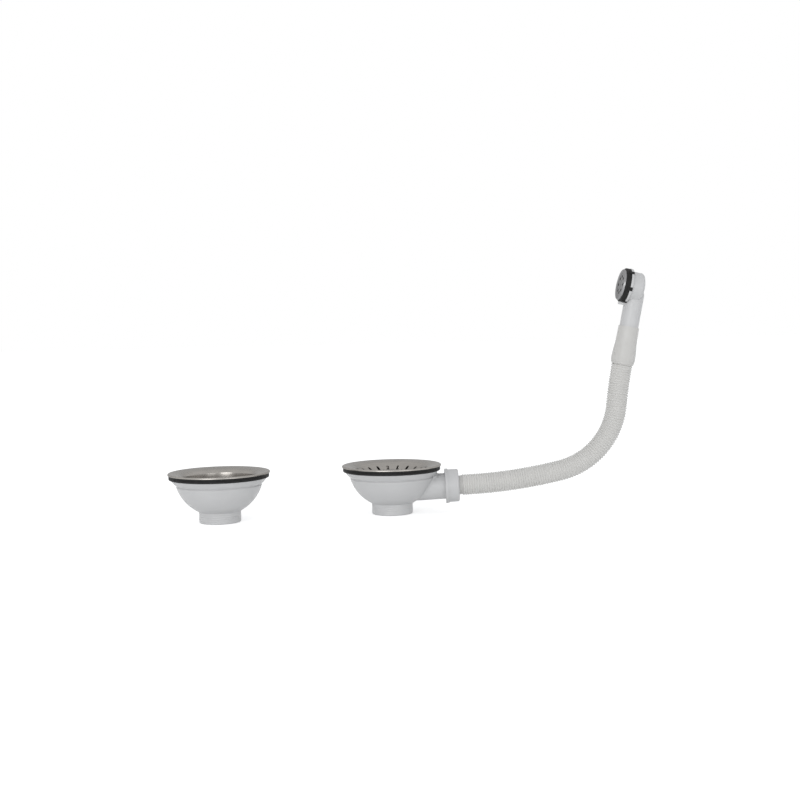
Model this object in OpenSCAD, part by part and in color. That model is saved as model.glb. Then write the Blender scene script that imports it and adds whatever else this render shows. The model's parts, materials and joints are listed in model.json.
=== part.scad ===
// Set of two basket wastes for a double sink. One is plain, the other carries a
// side port with a corrugated overflow hose and its rosette.
// Millimetres, +Z up. The origin is the middle of the overflow waste's outlet end.

/* [Set] */
// Distance from the overflow waste to the plain waste along X
waste_spacing = 195; // [140:5:400]
// How far the plain waste stands in front of the overflow waste
waste_offset = 37; // [0:1:100]

/* [Outlet] */
// Outside diameter of the outlet thread
outlet_d = 47.6; // [44:0.1:50]
// Length of the outlet below the bowl
outlet_l = 12.5; // [10:0.5:16]
// Wall of the outlet
outlet_wall = 2.9; // [2.2:0.1:4]
// Chamfer on the end of the outlet
outlet_chamfer = 1; // [0.4:0.1:1.6]

/* [Waste body] */
// Height of a waste from its outlet end to the top of its steel flange
waste_h = 57.5; // [54:0.5:66]
// Diameter of the collar under the gasket
body_d = 108.4; // [104:0.2:112]
// Gap between the steel dish and the top of the plastic bowl
bowl_gap = 4.7; // [3:0.1:5.5]
// Height of the collar above the waist
collar_h = 7.8; // [6:0.2:11]
// Radius of the collar's outward bulge
collar_bulge = 20; // [12:1:40]
// Depth of the groove round the waist
groove_depth = 0.8; // [0.2:0.1:1.2]
// Width of that groove
groove_w = 1.6; // [0.6:0.1:2]
// Radius of the bowl's side
bowl_bulge = 48; // [34:0.5:70]
// Wall of the bowl
body_wall = 2.6; // [1.8:0.1:3.2]

/* [Boss and web] */
// Diameter of the boss that holds the brass insert
boss_d = 20.5; // [18:0.5:24]
// Gap between the outlet's straight bore and the web above it
web_gap = 0.5; // [0:0.1:2]
// Depth of the web's ribs
web_h = 6; // [4:0.5:7]
// Thickness of the web's ribs
web_t = 2.5; // [1.5:0.1:4]
// Number of ribs in the web
web_ribs = 4; // [3:1:6]
// Gap between the boss and the steel dish
boss_gap = 1; // [0.5:0.1:3]

/* [Steel dish] */
// Diameter of the steel flange
flange_d = 115; // [112:0.5:120]
// Thickness of the pressed steel
dish_t = 1; // [0.7:0.1:1.2]
// Depth of the flange's turned-down lip
lip_h = 2.4; // [1.8:0.1:3]
// Radius of the lip's corner
lip_round = 1.5; // [1.3:0.1:1.6]
// Gap between the basket and the dish just below its rounded mouth
cup_gap = 1.5; // [1.2:0.1:2.2]
// Radius of the rounded mouth
mouth_round = 6.4; // [3:0.2:7]
// How much the dish's wall closes in on its way down
wall_taper = 0.8; // [0:0.1:0.9]
// Width of the flat seat for the rubber plug
seat_w = 3; // [2:0.2:4]
// Diameter of the sump below the seat
sump_d = 57; // [52:0.5:60]
// Radius of the edge between seat and sump
sump_edge = 1.5; // [1.2:0.1:1.8]
// Depth of the sump below the seat
sump_depth = 5.7; // [5:0.1:8]
// Radius between the sump's wall and floor
sump_round = 3; // [1.5:0.1:3.5]
// Number of drain holes in the floor
drain_holes = 10; // [6:1:12]
// Diameter of each drain hole
drain_hole_d = 6; // [3:0.2:7]
// Diameter of the circle of drain holes
drain_circle_d = 38; // [32:1:40]

/* [Seals] */
// Thickness of the seal under the steel flange
top_seal_t = 3.6; // [2:0.1:4]
// Thickness of the gasket on the plastic body
gasket_t = 2.9; // [2:0.1:4]
// Gap between the dish's rounded mouth and both rings
seal_gap = 0.7; // [0.4:0.1:1.4]
// Radius of the gasket's edge
gasket_round = 0.9; // [0.3:0.1:1]

/* [Basket] */
// How far the basket lifts
stroke = 8; // [5:0.5:9]
// Depth of the basket's rim when the waste is closed
closed_depth = 12; // [11:0.5:14]
// Diameter of the basket
cup_d = 76.8; // [74:0.2:77]
// Radius of the basket's spherical bottom
cup_sphere = 63; // [58:1:80]
// Height of the basket's upright rim
cup_rim_h = 1.2; // [0.6:0.1:2]
// Thickness of the basket's steel
cup_t = 0.8; // [0.6:0.1:1]
// Diameter of the flat middle of the basket
cup_flat_d = 24; // [22:1:30]
// Number of radial slots
slots = 18; // [12:1:20]
// Width of each slot
slot_w = 2.3; // [1.5:0.1:2.8]
// Length of each slot
slot_l = 11; // [8:0.5:12]
// Distance from the slots to the basket's edge
slot_edge = 1.4; // [1.4:0.1:3]
// Angle of the first slot from the back, clockwise seen from above
slot_phase = 12; // [0:1:20]
// Diameter of the round holes between the slots
pinhole_d = 2.4; // [1.5:0.1:2.6]
// How far the middle of each round hole lies outside the slots' inner ends
pinhole_step = 4; // [2:0.5:6]

/* [Knob and plug] */
// Diameter of the knob
knob_d = 18; // [15:0.5:22]
// Height of the knob
knob_h = 10; // [8.5:0.5:11]
// Diameter of the knob's waist
knob_waist_d = 11; // [9:0.5:13]
// Diameter of the stem
stem_d = 6; // [5:0.2:7]
// Diameter of the stem's stud inside the knob
stud_d = 4; // [3:0.2:4.6]
// Length of the stud inside the knob
stud_grip = 6; // [4:0.5:7]
// Diameter of the stem's shoulder
shoulder_d = 10; // [9:0.5:14]
// Thickness of the stem's shoulder
shoulder_t = 1.2; // [0.8:0.1:1.4]
// Thickness of the rubber plug seal
plug_t = 2.2; // [1.6:0.1:2.6]
// Diameter of the washer under the plug seal
washer_d = 26; // [20:1:40]
// Thickness of that washer
washer_t = 0.8; // [0.6:0.1:1]

/* [Clamp screw] */
// Diameter of the hollow screw's head
head_d = 20; // [18:0.5:24]
// Height of the head
head_h = 2; // [1.6:0.1:2.4]
// Diameter of the hollow screw's thread
shank_d = 12; // [11:0.5:13]
// Diameter of the brass insert in the boss
insert_d = 15.6; // [14.6:0.2:16.6]
// Length of the brass insert
insert_l = 7; // [5:0.5:7]
// Width of the slot across the head
driver_w = 2.4; // [1.6:0.1:3]
// Depth of that slot
driver_depth = 1.2; // [0.8:0.1:1.3]
// Wire of the spring clip inside the screw
clip_t = 0.9; // [0.6:0.1:1]
// Depth of the clip below the top of the screw
clip_depth = 4; // [3:0.5:4]

/* [Side port] */
// Outside diameter of the port
port_d = 30; // [28:0.2:31]
// Wall of the port
port_wall = 2.8; // [2.2:0.1:3.2]
// Height of the port's axis above the outlet end, at the waste's axis
port_z = 27.8; // [26:0.2:30]
// Rise of the port in degrees
port_rise = 2.5; // [0:0.5:4]
// Reach of the port from the waste's axis
port_l = 71; // [69:0.2:90]
// Chamfer inside the port's mouth
port_chamfer = 1.8; // [1:0.1:2]
// Length of the cone seal between port and nut
cone_seal_l = 4; // [3:0.2:6]
// How far the cone seal's nose reaches into the port
cone_nose_l = 1.5; // [0.5:0.1:3]

/* [Coupling nut] */
// Diameter of the nut
nut_d = 38; // [36.5:0.5:42]
// Diameter of the nut's lip
nut_lip_d = 40; // [38:0.5:46]
// Width of the lip
nut_lip_w = 3.4; // [2:0.2:5]
// Length of the nut
nut_l = 15.6; // [14:0.2:20]
// Thickness of the nut's end wall
nut_end_t = 2.6; // [1.8:0.1:3]
// Chamfer on the nut's outer edge
nut_chamfer = 1.2; // [0.5:0.1:1.8]

/* [Hose] */
// Outside diameter of the hose
hose_d = 24.4; // [22:0.2:24.6]
// Depth of the corrugations
hose_fold = 1.1; // [0.8:0.1:1.8]
// Distance from fold to fold
hose_pitch = 2.83; // [2.7:0.01:4]
// Inside diameter of the hose
hose_bore_d = 19.4; // [18.6:0.2:19.6]
// Diameter of the smooth tail in the port
tail_d = 22; // [20.6:0.2:22.4]
// Length of the tail's visible part, from nut to hose
tail_show = 4; // [1:0.5:10]
// How far the tail reaches into the port
tail_in = 20; // [8:1:24]
// Length of the spigot inside the hose
spigot_l = 10; // [6:0.5:12]
// Wall of the tail
tail_wall = 1.8; // [1.2:0.1:2.2]

/* [Hose route] */
// Straight start of the hose
lead_l = 12; // [12:1:60]
// Length of the gentle rise
rise_l = 104; // [60:1:200]
// Angle that the gentle rise turns through
rise_angle = 10.5; // [0:0.5:20]
// Length of the main bend
bend_l = 105; // [80:1:200]
// Angle that the main bend turns through
bend_angle = 71; // [40:1:75]
// Length of the upright run
upright_l = 48; // [20:1:150]
// Angle that the upright run turns through, backwards if negative
upright_angle = -5; // [-8:0.5:8]

/* [Cuff] */
// Length of the cuff
cuff_l = 44; // [36:1:60]
// Diameter of the cuff round the hose
cuff_d = 26.8; // [26.4:0.2:29]
// Diameter of the cuff's other end
cuff_top_d = 23.6; // [22.8:0.2:26]
// Wall of the cuff at that end
cuff_wall = 1.8; // [1.4:0.1:2]
// How far the hose goes into the cuff
cuff_grip = 11; // [8:0.5:14]
// Thickness of the stop between hose and neck, inside the cuff
cuff_stop = 2; // [1:0.5:4]

/* [Overflow head] */
// Outside diameter of the neck
neck_d = 21.6; // [21:0.2:22.4]
// Wall of the neck
neck_wall = 2.2; // [1.6:0.1:2.4]
// Distance from the cuff to the middle of the bell
neck_l = 45.5; // [42:0.5:70]
// How far the neck's domed end lies below the middle of the bell
dome_drop = 9; // [8:0.5:11]
// Diameter of the bell behind the sink wall
bell_d = 35; // [34:0.2:36]
// How far the bell's back lies behind the neck's axis
bell_back = 9.2; // [8:0.1:10]
// Radius of the bell's domed back
bell_dome = 34; // [28:1:60]
// Radius of the corner round the bell's back
bell_corner = 3.6; // [3:0.1:5]
// How far the bell's axis leans up from square to the neck, in degrees
bell_lean = 2; // [0:0.5:5]
// How far the bell is turned round the neck, towards the front, in degrees
bell_swing = 4; // [-20:1:20]
// How far the bell's flange lies in front of the neck's axis
bell_front = 11.2; // [10:0.2:16]
// Diameter of the bell's flange
bell_flange_d = 40; // [39.6:0.2:42]
// Thickness of that flange
bell_flange_t = 2.6; // [2:0.1:3.5]
// Wall of the bell
bell_wall = 2.2; // [1.6:0.1:2.6]
// Length of the lip under the gasket
cradle_l = 7.5; // [5:0.5:9]
// Width of that lip
cradle_w = 7; // [4:0.5:7]
// Thickness of that lip
cradle_t = 2.4; // [1:0.1:3]
// Diameter of the post for the rosette's screw
post_d = 9.2; // [9:0.2:11]
// How far the post ends behind the bell's front
post_setback = 3.5; // [2:0.5:5]

/* [Overflow gasket and rosette] */
// Thickness of the rubber gasket
ring_t = 5.8; // [3:0.2:7]
// Outside diameter of the gasket
ring_d = 39.2; // [38.4:0.2:39.4]
// Radius of the gasket's front edge
ring_round = 1.4; // [0.6:0.1:1.6]
// Inside diameter of the gasket
ring_bore_d = 27; // [24:0.5:29]
// Number of lugs on the gasket
lugs = 6; // [3:1:8]
// Width of each lug
lug_w = 4; // [2.5:0.1:4.5]
// How far a lug reaches behind the flange's front
lug_l = 2.8; // [2:0.1:3.2]
// How far a lug's root lies inside the gasket's edge
lug_in = 1; // [0.8:0.1:1.2]
// How far a lug stands out past the gasket
lug_out = 0.6; // [0.2:0.1:1]
// Angle from the bottom to the nearest lug
lug_phase = 18; // [18:1:24]
// Diameter of the rosette
rosette_d = 35.5; // [34:0.5:36]
// Height of the rosette
rosette_h = 2.4; // [2:0.1:3]
// Thickness of the rosette's steel
rosette_t = 0.8; // [0.6:0.1:0.9]
// How far the rosette's face lies below its rim
rosette_dip = 1; // [0.6:0.1:1.2]
// Number of holes in the rosette
rosette_holes = 8; // [5:1:10]
// Diameter of each hole
rosette_hole_d = 3.6; // [2:0.2:4]
// Diameter of the circle of holes
rosette_circle_d = 18.6; // [18:0.2:22]
// Diameter of the rosette's screw
screw_d = 5; // [4:0.2:5.4]
// Length of the screw
screw_l = 17; // [15:0.5:18]
// Depth of the countersink for the screw's head
countersink = 1.6; // [1:0.1:2]
// Diameter of the brass insert in the post
nut_insert_d = 6.8; // [6.6:0.2:7.4]
// Length of that insert
nut_insert_l = 8; // [5:0.5:9]

/* [Fits] */
// Gap round the stem in the hollow screw
run_fit = 0.08; // [0.04:0.01:0.1]
// Gap round a thread
thread_fit = 0.05; // [0.02:0.01:0.1]
// Gap round pieces that slip together once
slip_fit = 0.2; // [0.1:0.05:0.3]
// Gap between the closed plug and its seat
seat_fit = 0.3; // [0.1:0.05:0.5]

/* [Hidden] */

$fn = 96;
// Overlap of a cut past the face that it starts from
cut = 1;
// Steps in a rounded stretch of an outline
arc_steps = 8;

// Heights above the outlet end
body_top_z = waste_h - dish_t - top_seal_t - gasket_t;
gasket_top_z = body_top_z + gasket_t;
waist_z = body_top_z - collar_h;
web_z = outlet_l + web_gap;
web_top_z = web_z + web_h;

outlet_r = outlet_d / 2;
outlet_bore_r = outlet_r - outlet_wall;
body_r = body_d / 2;

// The basket fits the steel dish, and the plastic bowl stands off the dish
cup_r = cup_d / 2;
mouth_r = cup_r + cup_gap;
throat_r = mouth_r - wall_taper;
waist_r = mouth_r + dish_t + bowl_gap + body_wall;
slot_out_r = cup_r - slot_edge;
slot_in_r = slot_out_r - slot_l;
pinhole_r = slot_in_r + pinhole_step;

// The bowl's side seen from outside, from the outlet up to the waist
bowl_line = arc_to([outlet_r, outlet_l], [waist_r, waist_z - groove_w / 2], bowl_bulge, 2 * arc_steps);
bowl_inner_line = moved(bowl_line, body_wall);
body_mouth_r = bowl_inner_line[2 * arc_steps][0];
// The groove in the collar's top keeps the moulding's walls even
core_depth = collar_h / 2;
core_inner_r = body_mouth_r + body_wall;
core_outer_r = body_r - body_wall;

// The basket measured down from its rim
sphere_rim = sqrt(pow(cup_sphere, 2) - pow(cup_r, 2));
sphere_flat = sqrt(pow(cup_sphere, 2) - pow(cup_flat_d / 2, 2));
cup_depth = cup_rim_h + sphere_flat - sphere_rim;
plug_top_depth = cup_depth + cup_t;
washer_top_depth = plug_top_depth + plug_t;
shoulder_top_depth = washer_top_depth + washer_t;
shoulder_end_depth = shoulder_top_depth + shoulder_t;

// The steel dish measured down from the top of its flange
flange_r = flange_d / 2;
sump_r = sump_d / 2;
seat_r = sump_r + sump_edge + seat_w;
seat_depth = closed_depth + washer_top_depth + seat_fit;
floor_depth = seat_depth + sump_depth;
seal_r = flange_r - dish_t - slip_fit / 2;
seal_bore_r = mouth_r + mouth_round + seal_gap;
seal_chamfer = lip_round - dish_t + slip_fit;
plug_r = seat_r - slip_fit;

// The hollow screw and what it passes through
boss_top_z = waste_h - floor_depth - dish_t - boss_gap;
screw_top_z = waste_h - floor_depth + head_h;
shank_l = screw_top_z - head_h - web_z;
stem_r = stem_d / 2;
screw_bore_r = stem_r + run_fit;
clip_r = screw_bore_r + clip_t;
clip_z = screw_top_z - clip_depth;

// The stem keeps both of its grooves in reach of the clip
stem_end_z = clip_z - stroke - clip_t;
closed_rim_z = waste_h - closed_depth;

// Port, nut and tail, measured along the port
port_r = port_d / 2;
port_bore_r = port_r - port_wall;
tail_r = tail_d / 2;
cone_seal_end = port_l + cone_seal_l;
nut_end = cone_seal_end + nut_end_t;
nut_start = nut_end - nut_l;
hose_start = nut_end + tail_show;
tail_start = port_l - tail_in;

// The hose's route is a row of stretches, each a length and a turn
route = [
    [lead_l, 0],
    [rise_l, rise_angle],
    [bend_l, bend_angle],
    [upright_l, upright_angle],
    [cuff_grip, 0]
];
hose_l = lead_l + rise_l + bend_l + upright_l + cuff_grip;
hose_sides = 24;
folds = round(hose_l / hose_pitch);
hose_r = hose_d / 2;
hose_bore_r = hose_bore_d / 2;
// The straight sides of the hose's bore come this close to its axis
hose_bore_flat = hose_bore_r * cos(180 / hose_sides);
bore_steps = ceil(folds / 3);
route_start = [
    hose_start * cos(port_rise),
    port_z + hose_start * sin(port_rise)
];
hose_tip = route_point(route_start, port_rise, hose_l);

// The head measured up from the end of the hose
cuff_top = cuff_l - cuff_grip;
bell_z = cuff_top + neck_l;
dome_z = bell_z - dome_drop;
neck_r = neck_d / 2;
neck_bore_r = neck_r - neck_wall;
spigot_r = cuff_top_d / 2 - cuff_wall;
bell_r = bell_d / 2;
bell_flange_r = bell_flange_d / 2;
ring_r = ring_d / 2;
ring_front = bell_front + ring_t;
rosette_r = rosette_d / 2;
rosette_front = ring_front + rosette_h;
rosette_face = rosette_front - rosette_dip;
lug_root_r = ring_r - lug_in;
lug_end_r = ring_r + lug_out;

// The bell's side seen from outside, from the middle of its domed back to its front.
// The corner's circle touches the dome's circle inside.
dome_mid = [0, bell_dome - bell_back];
corner_mid = dome_mid + [
    bell_r - bell_corner,
    -sqrt(pow(bell_dome - bell_corner, 2) - pow(bell_r - bell_corner, 2))
];
dome_end = dome_mid + (corner_mid - dome_mid) * bell_dome / (bell_dome - bell_corner);
bell_line = concat(
    arc_to([0, -bell_back], dome_end, bell_dome),
    rest_of(arc_to(dome_end, [bell_r, corner_mid[1]], bell_corner)),
    [[bell_r, bell_front]]
);
post_front = bell_front - post_setback;
screw_r = screw_d / 2;
countersink_r = screw_r + rosette_t + countersink;

// Points on a circle of radius r from p to q, with its middle to the left of the
// way from p to q, or to the right if r is negative
function arc_to(p, q, r, n = arc_steps) =
    let (
        d = q - p,
        half = norm(d) / 2,
        side = sqrt(max(r * r - half * half, 0)) * sign(r),
        middle = (p + q) / 2 + side * [-d[1], d[0]] / norm(d),
        start = atan2(p[1] - middle[1], p[0] - middle[0]),
        turn = 2 * asin(min(half / abs(r), 1)) * sign(r)
    )
    [for (i = [0:n]) middle + abs(r) * [cos(start + turn * i / n), sin(start + turn * i / n)]];

// A list without its first item
function rest_of(list) = [for (i = [1:len(list) - 1]) list[i]];

// A line of points moved t to its left
function left_of(v) = [-v[1], v[0]] / norm(v);
function corner_shift(before, after) =
    let (a = left_of(before), b = left_of(after)) (a + b) / (1 + a * b);
function moved(line, t) =
    let (last = len(line) - 1)
    [for (i = [0:last]) line[i] + t * (
        i == 0 ? left_of(line[1] - line[0]) :
        i == last ? left_of(line[last] - line[last - 1]) :
        corner_shift(line[i] - line[i - 1], line[i + 1] - line[i])
    )];

// The outline of a sheet of thickness t, which lies to the left of its line
function sheet(line, t) =
    let (other = moved(line, t))
    concat(line, [for (i = [len(line) - 1:-1:0]) other[i]]);

// Where a stretch of the route gets to, as x, z and heading, after x of its length
function bow(turn) = abs(turn) < 0.001 ? 1 : sin(turn / 2) / (turn / 2 * PI / 180);
function stretch_point(p, heading, x, turn) =
    p + x * bow(turn) * [cos(heading + turn / 2), sin(heading + turn / 2)];
function route_point(p, heading, x, i = 0) =
    let (
        l = route[i][0],
        turn = route[i][1],
        here = stretch_point(p, heading, x, turn * x / l)
    )
    x <= l || i == len(route) - 1
        ? [here[0], here[1], heading + turn * x / l]
        : route_point(stretch_point(p, heading, l, turn), heading + turn, x - l, i + 1);

// One ring of the hose's skin round a point of its route
function hose_ring(at, r) =
    [for (k = [0:hose_sides - 1])
        let (a = 360 * k / hose_sides)
        [at[0] - r * cos(a) * sin(at[2]), r * sin(a), at[1] + r * cos(a) * cos(at[2])]];

module at_plain() {
    translate([-waste_spacing, -waste_offset, 0]) children();
}

module at_port() {
    translate([0, 0, port_z]) rotate([0, 90 - port_rise, 0]) children();
}

module at_hose_tip() {
    translate([hose_tip[0], 0, hose_tip[1]]) rotate([0, 90 - hose_tip[2], 0]) children();
}

// Moves a piece to the bell's axis, with the piece's +Z towards the rosette
module at_bell() {
    at_hose_tip() rotate([0, 0, bell_swing]) translate([0, 0, bell_z])
        rotate([0, bell_lean - 90, 0]) children();
}

// Repeats a piece n times round the Z axis
module ring_of(n, first = 0) {
    for (i = [0:n - 1]) rotate([0, 0, first + 360 * i / n]) children();
}

module strainer_dish() {
    line = concat(
        [[flange_r, -lip_h]],
        arc_to([flange_r, -lip_round], [flange_r - lip_round, 0], lip_round),
        arc_to([mouth_r + mouth_round, 0], [mouth_r, -mouth_round], mouth_round),
        arc_to([throat_r, -seat_depth + throat_r - seat_r], [seat_r, -seat_depth], -(throat_r - seat_r)),
        arc_to([sump_r + sump_edge, -seat_depth], [sump_r, -seat_depth - sump_edge], sump_edge),
        arc_to([sump_r, -floor_depth + sump_round], [sump_r - sump_round, -floor_depth], -sump_round),
        [[shank_d / 2 + slip_fit, -floor_depth]]
    );
    color("silver") translate([0, 0, waste_h]) difference() {
        rotate_extrude() polygon(sheet(line, dish_t));
        ring_of(drain_holes) translate([drain_circle_d / 2, 0, -floor_depth - dish_t - cut])
            cylinder(d = drain_hole_d, h = dish_t + 2 * cut);
    }
}

module top_seal() {
    outline = [
        [seal_bore_r, 0],
        [seal_r, 0],
        [seal_r, top_seal_t - seal_chamfer],
        [seal_r - seal_chamfer, top_seal_t],
        [seal_bore_r, top_seal_t]
    ];
    color("dimgray") translate([0, 0, gasket_top_z]) rotate_extrude() polygon(outline);
}

module lower_gasket() {
    outline = concat(
        [[seal_bore_r, 0]],
        arc_to([seal_r - gasket_round, 0], [seal_r, gasket_round], gasket_round),
        arc_to([seal_r, gasket_t - gasket_round], [seal_r - gasket_round, gasket_t], gasket_round),
        [[seal_bore_r, gasket_t]]
    );
    color("dimgray") translate([0, 0, body_top_z]) rotate_extrude() polygon(outline);
}

module waste_outside() {
    outline = concat(
        [[0, 0], [outlet_r - outlet_chamfer, 0], [outlet_r, outlet_chamfer]],
        bowl_line,
        [[waist_r - groove_depth, waist_z]],
        arc_to([waist_r, waist_z + groove_w / 2], [body_r, body_top_z], collar_bulge),
        [[0, body_top_z]]
    );
    rotate_extrude() polygon(outline);
}

module waste_inside() {
    outline = concat(
        [[0, -cut], [outlet_bore_r, -cut], [outlet_bore_r, outlet_l]],
        bowl_inner_line,
        [[body_mouth_r, body_top_z + cut], [0, body_top_z + cut]]
    );
    core = [
        [core_inner_r, body_top_z - core_depth],
        [(core_inner_r + core_outer_r) / 2, body_top_z - core_depth],
        [core_outer_r, body_top_z],
        [core_outer_r, body_top_z + cut],
        [core_inner_r, body_top_z + cut]
    ];
    rotate_extrude() polygon(outline);
    rotate_extrude() polygon(core);
}

// A rib runs from the boss into the middle of the outlet's and bowl's wall
module web_rib() {
    rib_r = outlet_r - outlet_wall / 2;
    outline = concat(
        [[0, web_z], [rib_r, web_z]],
        [for (p = moved(bowl_line, body_wall / 2)) if (p[1] > web_z && p[1] < web_top_z) p],
        [[0, web_top_z]]
    );
    rotate([90, 0, 0]) linear_extrude(web_t, center = true) polygon(outline);
}

module boss_and_web() {
    difference() {
        union() {
            translate([0, 0, web_z]) cylinder(d = boss_d, h = boss_top_z - web_z);
            ring_of(web_ribs, 45) web_rib();
        }
        translate([0, 0, web_z - cut])
            cylinder(r = shank_d / 2 + slip_fit, h = boss_top_z - web_z + 2 * cut);
        translate([0, 0, boss_top_z - insert_l]) cylinder(d = insert_d, h = insert_l + cut);
    }
}

module plain_waste_body() {
    color("gainsboro") at_plain() {
        difference() {
            waste_outside();
            waste_inside();
        }
        boss_and_web();
    }
}

module overflow_waste_body() {
    mouth = [
        [0, port_l - port_chamfer],
        [port_bore_r, port_l - port_chamfer],
        [port_bore_r + port_chamfer, port_l],
        [port_bore_r + port_chamfer, port_l + cut],
        [0, port_l + cut]
    ];
    color("gainsboro") {
        difference() {
            union() {
                waste_outside();
                at_port() cylinder(r = port_r, h = port_l);
            }
            waste_inside();
            at_port() translate([0, 0, outlet_r]) cylinder(r = port_bore_r, h = port_l);
            at_port() rotate_extrude() polygon(mouth);
        }
        boss_and_web();
    }
}

module clamp_screw() {
    color("silver") difference() {
        union() {
            translate([0, 0, screw_top_z - head_h]) cylinder(d = head_d, h = head_h);
            translate([0, 0, web_z]) cylinder(d = shank_d, h = shank_l);
        }
        translate([0, 0, web_z - cut]) cylinder(r = screw_bore_r, h = shank_l + head_h + 2 * cut);
        translate([0, 0, clip_z - clip_t / 2]) cylinder(r = clip_r, h = clip_t);
        translate([-head_d, -driver_w / 2, screw_top_z - driver_depth])
            cube([2 * head_d, driver_w, driver_depth + cut]);
    }
}

module screw_insert() {
    color("goldenrod") translate([0, 0, boss_top_z - insert_l]) difference() {
        cylinder(d = insert_d, h = insert_l);
        translate([0, 0, -cut]) cylinder(r = shank_d / 2 + thread_fit, h = insert_l + 2 * cut);
    }
}

module stem_clip() {
    gap_w = 1.5;
    color("silver") translate([0, 0, clip_z - clip_t / 2]) difference() {
        cylinder(r = clip_r, h = clip_t);
        translate([0, 0, -cut]) cylinder(r = stem_r + run_fit / 2, h = clip_t + 2 * cut);
        translate([0, -gap_w / 2, -cut]) cube([2 * clip_r, gap_w, clip_t + 2 * cut]);
    }
}

// The basket's pieces are drawn with the rim's top at z = 0
module slot_cut() {
    inner = slot_in_r + slot_w / 2;
    outer = slot_out_r - slot_w / 2;
    depth = cup_depth + cup_t + cut;
    translate([0, 0, -depth]) {
        translate([inner, 0, 0]) cylinder(d = slot_w, h = depth + cut);
        translate([outer, 0, 0]) cylinder(d = slot_w, h = depth + cut);
        translate([inner, -slot_w / 2, 0]) cube([outer - inner, slot_w, depth + cut]);
    }
}

module basket_cup() {
    sphere_z = sphere_rim - cup_rim_h;
    color("silver") difference() {
        union() {
            difference() {
                intersection() {
                    translate([0, 0, sphere_z]) sphere(r = cup_sphere + cup_t);
                    translate([0, 0, -plug_top_depth]) cylinder(r = cup_r, h = plug_top_depth);
                }
                translate([0, 0, sphere_z]) sphere(r = cup_sphere);
            }
            translate([0, 0, -plug_top_depth]) cylinder(d = cup_flat_d, h = cup_t);
            translate([0, 0, -cup_rim_h - cup_t]) difference() {
                cylinder(r = cup_r, h = cup_rim_h + cup_t);
                translate([0, 0, -cut]) cylinder(r = cup_r - cup_t, h = cup_rim_h + cup_t + 2 * cut);
            }
        }
        translate([0, 0, -plug_top_depth - cut])
            cylinder(r = stud_d / 2 + slip_fit, h = cup_t + 2 * cut);
        ring_of(slots, 90 - slot_phase) slot_cut();
        ring_of(slots, 90 - slot_phase + 180 / slots)
            translate([pinhole_r, 0, -plug_top_depth - cut])
            cylinder(d = pinhole_d, h = plug_top_depth + cut);
    }
}

module basket_knob() {
    edge = 2;
    foot_w = 1;
    foot_h = 1.5;
    waist = knob_waist_d / 2;
    outline = concat(
        [[0, 0], [waist + foot_w, 0]],
        arc_to([waist, foot_h], [knob_d / 2, knob_h - 2 * edge], -knob_h),
        arc_to([knob_d / 2, knob_h - edge], [knob_d / 2 - edge, knob_h], edge),
        [[0, knob_h]]
    );
    color("dimgray") translate([0, 0, -cup_depth]) difference() {
        rotate_extrude() polygon(outline);
        translate([0, 0, -cut]) cylinder(r = stud_d / 2 + thread_fit, h = stud_grip + thread_fit + cut);
    }
}

module plug_seal() {
    color("dimgray") translate([0, 0, -washer_top_depth]) difference() {
        cylinder(r = plug_r, h = plug_t);
        translate([0, 0, -cut]) cylinder(r = stud_d / 2 + slip_fit, h = plug_t + 2 * cut);
    }
}

module seal_washer() {
    color("silver") translate([0, 0, -shoulder_top_depth]) difference() {
        cylinder(d = washer_d, h = washer_t);
        translate([0, 0, -cut]) cylinder(r = stud_d / 2 + slip_fit, h = washer_t + 2 * cut);
    }
}

module basket_stem() {
    end_depth = closed_rim_z - stem_end_z;
    groove = clip_t / 2;
    stud_l = shoulder_top_depth - cup_depth + stud_grip;
    clip_at = closed_rim_z - clip_z;
    outline = concat(
        [[0, -end_depth], [stem_r - groove, -end_depth], [stem_r, -end_depth + groove]],
        [for (depth = [clip_at + stroke, clip_at]) each [
            [stem_r, -depth - groove],
            [stem_r - groove / 2, -depth],
            [stem_r, -depth + groove]
        ]],
        [[stem_r, -shoulder_end_depth], [shoulder_d / 2, -shoulder_end_depth],
        [shoulder_d / 2, -shoulder_top_depth], [stud_d / 2, -shoulder_top_depth],
        [stud_d / 2, -shoulder_top_depth + stud_l], [0, -shoulder_top_depth + stud_l]]
    );
    color("silver") rotate_extrude() polygon(outline);
}

module at_plain_basket() {
    at_plain() translate([0, 0, closed_rim_z]) children();
}

// The overflow waste's basket stands lifted
module at_overflow_basket() {
    translate([0, 0, closed_rim_z + stroke]) children();
}

module plain_strainer_dish() { at_plain() strainer_dish(); }
module plain_top_seal() { at_plain() top_seal(); }
module plain_lower_gasket() { at_plain() lower_gasket(); }
module plain_clamp_screw() { at_plain() clamp_screw(); }
module plain_screw_insert() { at_plain() screw_insert(); }
module plain_stem_clip() { at_plain() stem_clip(); }
module plain_basket_cup() { at_plain_basket() basket_cup(); }
module plain_basket_knob() { at_plain_basket() basket_knob(); }
module plain_basket_stem() { at_plain_basket() basket_stem(); }
module plain_plug_seal() { at_plain_basket() plug_seal(); }
module plain_seal_washer() { at_plain_basket() seal_washer(); }

module overflow_strainer_dish() { strainer_dish(); }
module overflow_top_seal() { top_seal(); }
module overflow_lower_gasket() { lower_gasket(); }
module overflow_clamp_screw() { clamp_screw(); }
module overflow_screw_insert() { screw_insert(); }
module overflow_stem_clip() { stem_clip(); }
module overflow_basket_cup() { at_overflow_basket() basket_cup(); }
module overflow_basket_knob() { at_overflow_basket() basket_knob(); }
module overflow_basket_stem() { at_overflow_basket() basket_stem(); }
module overflow_plug_seal() { at_overflow_basket() plug_seal(); }
module overflow_seal_washer() { at_overflow_basket() seal_washer(); }

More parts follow.
